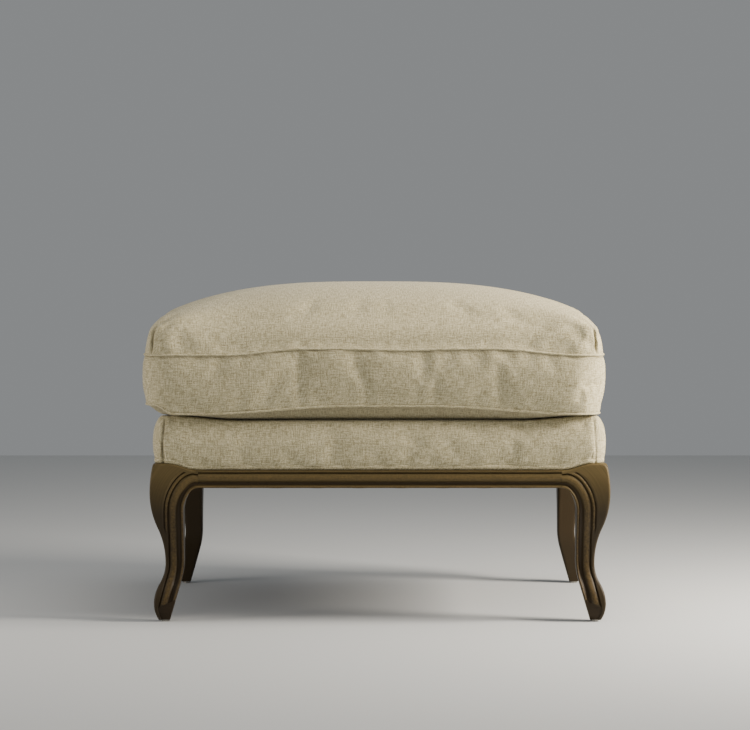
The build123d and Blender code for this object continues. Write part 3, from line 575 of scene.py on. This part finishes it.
def settle(piece, pressure, growth, most):
    """Let a sewn cover settle over its filling, as a cloth simulation with its seams held.

    Inner pressure and a small growth of the cloth push it out and pucker it along the seams; how
    far a point may move is capped, and the result is written into the mesh.
    """
    mesh = piece.data
    count = len(mesh.vertices)
    before = np.zeros(count * 3, np.float32)
    mesh.vertices.foreach_get("co", before)
    held = np.zeros(count, np.float32)
    mesh.attributes["held"].data.foreach_get("value", held)
    seams = piece.vertex_groups.new(name="held")
    seams.add(np.flatnonzero(held > 0.5).tolist(), 1.0, "REPLACE")
    filling = piece.modifiers.new("filling", "CLOTH")
    filling.settings.vertex_group_mass = "held"
    filling.settings.quality = 6
    filling.settings.mass = 0.3
    filling.settings.tension_stiffness = 20
    filling.settings.compression_stiffness = 20
    filling.settings.shear_stiffness = 8
    filling.settings.bending_stiffness = 0.6
    filling.settings.use_pressure = True
    filling.settings.uniform_pressure_force = pressure
    filling.settings.shrink_min = -growth
    filling.settings.effector_weights.gravity = 0.0
    filling.collision_settings.use_collision = False
    last_step = 20
    for step in range(1, last_step + 1):
        bpy.context.scene.frame_set(step)
    after = np.zeros(count * 3, np.float32)
    settled = piece.evaluated_get(bpy.context.evaluated_depsgraph_get())
    settled.data.vertices.foreach_get("co", after)
    move = (after - before).reshape(-1, 3)
    length = np.linalg.norm(move, axis=1, keepdims=True)
    move *= np.minimum(1, most / np.maximum(length, 1e-9))
    piece.modifiers.remove(filling)
    bpy.context.scene.frame_set(1)
    mesh.vertices.foreach_set("co", before + move.ravel())
    mesh.update()


def soften(piece):
    """One subdivision, which rounds the cloth between its points."""
    smooth = piece.modifiers.new("soften", "SUBSURF")
    smooth.levels = 1
    smooth.render_levels = 1


deck_lean = -1 * mm
deck_half_x, deck_half_y = half_width - 5.0 * mm, half_depth - 6.0 * mm
deck_full, deck_top, deck_dip = 262 * mm, 296.8 * mm, 8.0 * mm
deck_corner, shoulder_run, deck_pitch = 28 * mm, 15 * mm, 10 * mm
deck_close = mm * np.array([0, 0.8, 2, 3.5, 5, 7, 9, 10.5, 12, 13.2, 14.4, 15.6, 16.8, 18, 19.5, 21,
                            24, 28, 33, 38, 45])
near_x = edge_steps(deck_half_x, deck_close, deck_pitch)
near_y = edge_steps(deck_half_y, deck_close, deck_pitch)
flat_x, flat_y, deck_x, deck_y = plan_grid(near_x, near_y, deck_half_x, deck_half_y, deck_corner)


def deck_level(x, y):
    """Top of the padding: the cushion presses it down along its edges, but not at the corners."""
    pressed_run, start_x, run_x, start_y, run_y = 90 * mm, 0.62, 0.3, 0.55, 0.35
    gap = np.minimum(deck_half_x - np.abs(x), deck_half_y - np.abs(y))
    pressed = 1 - ease(gap / pressed_run)
    corner_x = ease((np.abs(x) / deck_half_x - start_x) / run_x)
    corner_y = ease((np.abs(y) / deck_half_y - start_y) / run_y)
    return deck_top - deck_dip * pressed * (1 - corner_x * corner_y)


def shoulder(gap):
    """Rounded shoulder of the padding, near a quarter oval: 0 at the side, 1 from the end of its run."""
    level_power, up_power = 2.4, 0.48
    return (1 - (1 - np.clip(gap / shoulder_run, 0, 1)) ** level_power) ** up_power


rise = soft_min(shoulder(deck_half_x - np.abs(flat_x)), shoulder(deck_half_y - np.abs(flat_y)), 2.0)


def corner_seam(reach, share):
    """Sewn seam near the corner of a front or back side: 1 on its slanting line, 0 away from it."""
    seam_foot, seam_slant, seam_width = 19 * mm, 4 * mm, 1.6 * mm
    return np.exp(-((reach - seam_foot - seam_slant * share) / seam_width) ** 2)


panel_level = deck_full + (deck_level(flat_x, flat_y) - deck_full) * rise
deck_panel = np.stack([deck_lean + deck_x, deck_y, panel_level], -1)
# The sewn corner seams are dented into the cover and darkened along their line as painted shade.
seam_depth, seam_shade, faint_seam = 3.2 * mm, 0.55, 0.35
panel_share = 0.5 + 0.5 * rise
panel_seam = corner_seam(half_width - np.abs(deck_x), panel_share) * (1 - ease((rise - 0.6) / 0.4))
on_side = deck_half_y - np.abs(flat_y) < shoulder_run
panel_seam = panel_seam * on_side * np.where(deck_x * flat_y < 0, faint_seam, 1.0)
deck_panel[..., 1] -= np.sign(flat_y) * seam_depth * panel_seam
deck_rim = rim(deck_panel)
deck_out = outward_of(deck_rim)
reach_x = half_width - np.abs(deck_rim[:, 0] - deck_lean)
reach_y = half_depth - np.abs(deck_rim[:, 1])
foot_draw, foot_gap = 3.0 * mm, 0.4 * mm
foot_level = ear_edge(np.maximum(reach_x, reach_y)) + foot_gap
side_rows = np.linspace(0, 1, 15)[:, None]
pull_in = foot_draw * (1 - side_rows) ** 2.2
deck_side = deck_rim - pull_in[..., None] * deck_out
deck_side[..., 2] = foot_level + (deck_rim[:, 2] - foot_level) * side_rows
side_seam = corner_seam(reach_x, 0.5 * side_rows) * (deck_out[:, 1] ** 2 > 0.5)
side_seam = side_seam * np.where(deck_rim[:, 0] * deck_rim[:, 1] < 0, faint_seam, 1.0)
deck_side -= (seam_depth * side_seam)[..., None] * deck_out * (1 - side_rows[..., None] ** 8)
tuck_in = 9.5 * mm
under_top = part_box("hessian")[1].z + 0.5 * mm
under_x = deck_lean + deck_x * (1 - tuck_in / deck_half_x)
under_y = deck_y * (1 - tuck_in / deck_half_y)
under_panel = np.stack([under_x, under_y, np.full(deck_x.shape, under_top)], -1)
under_rim = rim(under_panel)
under_rows = np.stack([deck_side[0], np.concatenate([under_rim[:, :2], foot_level[:, None]], 1), under_rim])
held_side = np.broadcast_to((side_rows < 0.01).astype(float), deck_side.shape[:2])
held_top = (rise > 0.97).astype(float)
deck = mesh_piece("padded_deck_cover", [
    (deck_panel, cloth_uv(deck_panel), {"held": held_top, "painted_shade": seam_shade * panel_seam}),
    (deck_side, cloth_uv(deck_side), {"held": held_side, "painted_shade": seam_shade * side_seam}),
    (under_rows, cloth_uv(under_rows), {"held": np.ones(under_rows.shape[:2])}),
    (under_panel, cloth_uv(under_panel), {"held": np.ones(deck_x.shape)})])
settle(deck, 2.0, 0.008, 2.5 * mm)
soften(deck)
deck.data.materials.append(cloth)
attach(deck, "stool_frame")
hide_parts("deck_cover", "deck_pad")

edge_out, edge_up, edge_half_out, edge_half_up = 0.4 * mm, 3.4 * mm, 1.7 * mm, 3.6 * mm
edge_path = deck_side[0] + edge_out * deck_out
edge_path[:, 2] += edge_up
edge_welt = tube("deck_edge_welt", edge_path, edge_half_out, edge_half_up, 12)
edge_welt.data.materials.append(cloth)
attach(edge_welt, "stool_frame")
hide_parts("deck_welt")

# Dust cover: black cambric stretched under the frame and stapled to the rails, which keeps
# dust and fibres in. It is cut out round the legs, hangs a little and puckers between staples.
dust_low, dust_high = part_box("dust_cover")
dust_level = (dust_low.z + dust_high.z) / 2
dust_x, dust_y = dust_high.x, dust_high.y
notch_gap = 1 * mm
notch_x, notch_y = half_width - leg_reach - notch_gap, half_depth - leg_reach - notch_gap
sag, pucker, pucker_run, staple_pitch = 4 * mm, 0.5 * mm, 18 * mm, 60 * mm


def dust_patch(line_x, line_y):
    """Part of the dust cover: two parabolas hang it, and waves that die away inwards pucker its edge."""
    x, y = np.meshgrid(line_x, line_y)
    hang = (1 - (x / dust_x) ** 2) * (1 - (y / dust_y) ** 2)
    edge_x = np.exp((np.abs(x) - dust_x) / pucker_run)
    edge_y = np.exp((np.abs(y) - dust_y) / pucker_run)
    wave = edge_x * np.cos(2 * np.pi * y / staple_pitch) + edge_y * np.cos(2 * np.pi * x / staple_pitch)
    level = dust_level - sag * hang - pucker * (1 - wave) * np.maximum(edge_x, edge_y)
    return np.stack([x, y, level], -1), np.stack([x, y], -1), {}


across_line, along_line = np.linspace(-notch_x, notch_x, 81), np.linspace(-notch_y, notch_y, 61)
end_line, side_line = np.linspace(notch_y, dust_y, 14), np.linspace(notch_x, dust_x, 14)
dust_cover = mesh_piece("cambric_dust_cover", [
    dust_patch(across_line, along_line),
    dust_patch(across_line, end_line), dust_patch(across_line, -end_line),
    dust_patch(side_line, along_line), dust_patch(-side_line, along_line)])
thickness = dust_cover.modifiers.new("thickness", "SOLIDIFY")
thickness.thickness = 0.5 * mm
thickness.offset = 0.0
cambric = plain_material("black_cambric", ("#17171a", "#242428"), 0.95, grain=1 * mm)
dust_cover.data.materials.append(cambric)
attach(dust_cover, "stool_frame")
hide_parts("dust_cover")
finish_nodes(zinc_steel, "dust_cover_staples")

# Cushion: a foam core in a soft wrap, in a linen cover sewn from a crowned top panel, a boxing
# band and a bottom panel, with welts in both seams and the fullness darted at the corners.
# It lies loose on the deck and leans a little to one side, as in the photo.
lean = -8.5 * mm
cushion_half_x, cushion_half_y = 330.5 * mm, 262 * mm
cushion_corner, cushion_pitch = 42 * mm, 9 * mm
cushion_close = np.array([0, 1, 2, 3.2, 4.5, 6, 7.5, 9, 11, 13, 15.5, 18.5, 22, 26, 31, 37, 44]) * mm
near_x = edge_steps(cushion_half_x, cushion_close, cushion_pitch)
near_y = edge_steps(cushion_half_y, cushion_close, cushion_pitch)
flat_x, flat_y, plan_x, plan_y = plan_grid(near_x, near_y, cushion_half_x, cushion_half_y, cushion_corner)
gap_x, gap_y = cushion_half_x - np.abs(flat_x), cushion_half_y - np.abs(flat_y)
edge_gap = np.minimum(gap_x, gap_y)
share_x, share_y = np.abs(flat_x) / cushion_half_x, np.abs(flat_y) / cushion_half_y
draw_in = 4.5 * mm
plan_x = plan_x - np.sign(flat_x) * draw_in * (1 - share_y ** 2) * share_x ** 4
plan_y = plan_y + draw_in * (1 - share_x ** 2) * share_y ** 4 * (flat_y < 0)
seam_height, seam_droop = 393.8 * mm, 9.0 * mm
droop_left, droop_right, droop_run = 100 * mm, 175 * mm, 115 * mm
side_droop_start, side_droop_run = 90 * mm, 120 * mm
dip_place, dip_width, dip_depth = 40 * mm, 50 * mm, 2 * mm
droop = ease((np.abs(flat_x) - np.where(flat_x < 0, droop_left, droop_right)) / droop_run)
side_droop = ease((np.abs(flat_y) - side_droop_start) / side_droop_run)
seam_level = seam_height - seam_droop * np.where(gap_x < gap_y, side_droop, droop)
seam_level = seam_level - dip_depth * np.exp(-((flat_x - dip_place) / dip_width) ** 2)
crown, dome_power = 88.2 * mm, 2.9


def crowned(gap, half, wall_share, wall_run):
    """Section of the crown: a short wall and a dome, added up.

    The wall climbs steeply from the seam and levels off as an exponential; the dome falls from
    the middle by a power of the way to the edge.
    """
    wall = wall_share * (1 - np.exp(-gap / wall_run))
    return wall + (1 - wall_share) * (1 - np.clip(1 - gap / half, 0, 1) ** dome_power)


left_wall, right_wall, side_wall_run = 0.42, 0.43, 3.8 * mm
middle_wall, wall_gain, front_wall_run = 0.28, 0.13, 6.0 * mm
side_wall = np.where(flat_x < 0, left_wall, right_wall)
front_wall = middle_wall + wall_gain * ease((share_x - 0.6) / 0.35)
crown_share = soft_min(crowned(gap_x, cushion_half_x, side_wall, side_wall_run),
                       crowned(gap_y, cushion_half_y, front_wall, front_wall_run), 5.0)
crown_share = np.where((gap_x > 0) & (gap_y > 0), crown_share, 0)
dart_length, dart_width, dart_depth, dart_start = 24 * mm, 2.0 * mm, 6.0 * mm, 2 * mm
dart_reach = np.clip(1 - np.maximum(gap_x, gap_y) / dart_length, 0, 1)
dart_reach = dart_reach * np.clip(edge_gap / dart_start, 0, 1)
dart = np.exp(-((gap_x - gap_y) / dart_width) ** 2) * dart_reach
end_share = share_x ** 8
left_flare, right_flare, right_draw = -2.5 * mm, 2.0 * mm, -3.5 * mm
top_flare = np.where(flat_x < 0, left_flare, right_flare) * end_share
bottom_flare = np.where(flat_x < 0, 0.0, right_draw) * end_share
top_x = lean + plan_x + top_flare - np.sign(plan_x) * dart_depth * dart
top_y = plan_y - np.sign(plan_y) * dart_depth * dart
crown_level = (seam_height - seam_level) * np.clip(crown_share, 0, 1)
top_panel = np.stack([top_x, top_y, seam_level + crown_level + crown * crown_share], -1)
rest_gap, tuck_run, tuck_power = 0.8 * mm, 30 * mm, 1.15
rest_level = np.maximum(deck_level(lean + plan_x - deck_lean, plan_y), deck_top - deck_dip) + rest_gap
tuck = 1 - np.clip(edge_gap / tuck_run, 0, 1)
low_height, low_droop = 312 * mm, 11.5 * mm
low_left, low_right, low_run = 30 * mm, 80 * mm, 220 * mm
low_side_start, low_side_run = 30 * mm, 190 * mm
lift, lift_start, lift_run = 13 * mm, 288 * mm, 38 * mm
low_front = ease((np.abs(flat_x) - np.where(flat_x < 0, low_left, low_right)) / low_run)
low_side = ease((np.abs(flat_y) - low_side_start) / low_side_run)
lifted = lift * ease((-flat_x - lift_start) / lift_run) * (flat_y < 0)
bottom_seam = low_height - low_droop * np.where(gap_x < gap_y, low_side, low_front) + lifted
bottom_level = rest_level + (bottom_seam - rest_level) * tuck ** tuck_power
bottom_panel = np.stack([lean + plan_x + bottom_flare, plan_y, bottom_level], -1)
top_rim, bottom_rim = rim(top_panel), rim(bottom_panel)
rim_out = outward_of(top_rim)
zip_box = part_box("zip_chain")
zip_level = (zip_box[0].z + zip_box[1].z) / 2
zip_rows = np.array([-6, -4.6, -4.0, 4.0, 4.6, 6]) * mm
low_rows = np.linspace(0, 1, 9)[:-1, None]
high_rows = np.array([0.16, 0.32, 0.48, 0.64, 0.78, 0.88, 0.94, 0.97, 1.0])[:, None]
zip_low, zip_high = zip_level + zip_rows[0], zip_level + zip_rows[-1]
band_level = np.concatenate([
    bottom_rim[:, 2] + (zip_low - bottom_rim[:, 2]) * low_rows,
    np.broadcast_to(zip_level + zip_rows[:, None], (len(zip_rows), len(top_rim))),
    zip_high + (top_rim[:, 2] - zip_high) * high_rows])
band_share = (band_level - bottom_rim[:, 2]) / (top_rim[:, 2] - bottom_rim[:, 2])
at_back = ease((rim_out[:, 1] - 0.9) / 0.08)
front_bulge, back_less, side_less = 3.5 * mm, 1.5 * mm, 1.8 * mm
bulge = front_bulge - back_less * at_back - side_less * rim_out[:, 0] ** 2
boxing = bottom_rim + (top_rim - bottom_rim) * band_share[..., None]
groove, groove_share = 1.6 * mm, 0.045
under_welt = groove * np.exp(-((1 - band_share) / groove_share) ** 2) * (band_share < 0.999)
boxing += (bulge * 4 * band_share * (1 - band_share) - under_welt)[..., None] * rim_out
slot_half, slot_end, sewn_half = 4.2 * mm, zip_box[1].x + 5 * mm, 7 * mm
from_zip = np.abs(band_level - zip_level)
in_slot = (from_zip < slot_half) & (np.abs(top_rim[:, 0]) < slot_end) & (at_back > 0.5)
tape_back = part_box("zip_tape")[0].y - 0.6 * mm
boxing[..., 1] = np.where(in_slot, tape_back, boxing[..., 1])
held_zip = (from_zip < sewn_half) & (at_back > 0.5)
held_boxing = held_zip | (band_share < 0.001) | (band_share > 0.999)
held_crown = (edge_gap < 0.1 * mm) | (dart > 0.4)
# The dart folds, the groove under the top welt and the underside near the bottom seam are darkened as
# painted shade.
boxing_shade = seam_shade * under_welt / under_welt.max()
under_shade = 0.5 * tuck ** 0.5
cushion = mesh_piece("cushion_cover", [
    (top_panel, cloth_uv(top_panel), {"held": held_crown.astype(float), "painted_shade": dart}),
    (boxing, cloth_uv(boxing), {"held": held_boxing.astype(float), "painted_shade": boxing_shade}),
    (bottom_panel, cloth_uv(bottom_panel), {"held": np.ones(tuck.shape), "painted_shade": under_shade})])
settle(cushion, 4.0, 0.012, 4 * mm)
soften(cushion)
cushion.data.materials.append(cloth)
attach(cushion, "loose_cushion")
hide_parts("cushion_top_panel", "cushion_boxing", "cushion_bottom_panel",
            "cushion_wrap", "cushion_core")
cord_sunk, cord_half_out, cord_half_up = 0.4 * mm, 1.9 * mm, 1.8 * mm
for welt_name, seam in (("cushion_top_welt", top_rim), ("cushion_bottom_welt", bottom_rim)):
    welt = tube("sewn_" + welt_name, seam - cord_sunk * rim_out, cord_half_out, cord_half_up, 10)
    welt.data.materials.append(cloth)
    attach(welt, "loose_cushion")
    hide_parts(welt_name)

# Zip: woven tape sewn behind a slot in the back of the boxing, a nylon chain on it between two
# nylon stops, and a metal slider whose pull flips over on a pin. The chain's two rows of teeth
# mesh; they are drawn at 2.5 mm, coarser than the 1.5 mm usual for such a zip.
finish_nodes(plain_material("zip_cloth", ("#b3a98f", "#c4baa1"), 0.9, grain=1 * mm), "zip_tape")
tooth_pitch, tooth_cut, squareness = 2.5 * mm, 0.18, 0.6
chain_steps, chain_turns = 829, 24
chain_half_y, chain_half_z = (zip_box[1].y - zip_box[0].y) / 2, (zip_box[1].z - zip_box[0].z) / 2
chain_run, chain_turn = np.meshgrid(np.linspace(zip_box[0].x, zip_box[1].x, chain_steps),
                                    np.linspace(0, 2 * np.pi, chain_turns + 1), indexing="ij")
out_turn, up_turn = np.sin(chain_turn), np.cos(chain_turn)
tooth = np.cos(2 * np.pi * chain_run / tooth_pitch + np.where(up_turn > 0, 0, np.pi))
hollow = 1 - tooth_cut * (1 - tooth) * np.clip(out_turn, 0, 1)
chain_out = np.sign(out_turn) * np.abs(out_turn) ** squareness * hollow
chain_y = zip_box[0].y + chain_half_y * (1 + chain_out)
chain_z = zip_level + chain_half_z * np.sign(up_turn) * np.abs(up_turn) ** squareness
chain_points = np.stack([chain_run, chain_y, chain_z], -1)
chain = mesh_piece("nylon_zip_chain", [(chain_points, cloth_uv(chain_points), {})],
                   [chain_points[0, :-1], chain_points[-1, :-1]])
zip_nylon = plain_material("zip_nylon", ("#b9ae95", "#c9bfa7"), 0.5, grain=1 * mm)
chain.data.materials.append(zip_nylon)
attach(chain, "loose_cushion")
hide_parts("zip_chain")
zip_metal = plain_material("zip_metal", ("#8f8574", "#a89c88"), 0.32, metal=1.0)
finish_nodes(zip_nylon, "zip_stops")
finish_nodes(zip_metal, "zip_slider", "zip_pull")

# Stage: a plain pale floor and soft studio light: a strong key from the right, a weaker light
# from the left, one above and one high in front.
floor_half = 3.0
floor_x, floor_y = np.meshgrid([-floor_half, floor_half], [-floor_half, floor_half])
floor_points = np.stack([floor_x, floor_y, 0 * floor_x], -1)
floor = mesh_piece("floor", [(floor_points, floor_points[..., :2], {})])
floor_paint, _, floor_surface = new_material("pale_floor")
floor_surface.inputs["Base Color"].default_value = linear("#bfc2c4")
floor_surface.inputs["Roughness"].default_value = 0.75
floor.data.materials.append(floor_paint)


def soft_light(name, place, target, size, power, colour):
    """A square area light at a place, turned towards a target."""
    lamp = bpy.data.lights.new(name, "AREA")
    lamp.size = size
    lamp.energy = power
    lamp.color = linear(colour)[:3]
    holder = bpy.data.objects.new(name, lamp)
    holder.location = place
    way = np.array(target) - np.array(place)
    holder.rotation_euler = Vector(way).to_track_quat("-Z", "Y").to_euler()
    bpy.context.scene.collection.objects.link(holder)


middle = (0.0, 0.0, 0.3)
soft_light("key", (1.35, -0.36, 0.85), middle, 0.5, 62.0, "#fff4e4")
soft_light("left", (-1.4, -0.45, 0.5), middle, 0.6, 7.0, "#fff4e8")
soft_light("top", (0.4, -0.3, 2.7), middle, 1.6, 20.0, "#fffaf2")
soft_light("front", (-0.5, -2.8, 2.3), middle, 1.6, 9.0, "#fffaf2")
world = bpy.data.worlds.new("studio")
bpy.context.scene.world = world
world.use_nodes = True
world.node_tree.nodes["Background"].inputs["Color"].default_value = linear("#c4c7c9")
world.node_tree.nodes["Background"].inputs["Strength"].default_value = 0.45

# Camera: a little above the cushion's top, straight on, with a long lens. It tilts down a little,
# and the lens is shifted so that the stool stands just right of the picture's middle.
image_width, focal_pixels = 750, 3040
camera_height, camera_distance = 0.563, 4.35
horizon_row, middle_row, axis_column, middle_column = 230.8, 365, 380, 375
lens = bpy.data.cameras.new("camera")
lens.sensor_width = 36.0
lens.lens = focal_pixels / image_width * lens.sensor_width
lens.shift_x = (middle_column - axis_column) / image_width
camera = bpy.data.objects.new("camera", lens)
camera.location = (0.0, -half_depth - camera_distance, camera_height)
tilt = np.arctan((middle_row - horizon_row) / focal_pixels)
camera.rotation_euler = (np.pi / 2 - tilt, 0.0, 0.0)
bpy.context.scene.collection.objects.link(camera)
bpy.context.scene.camera = camera
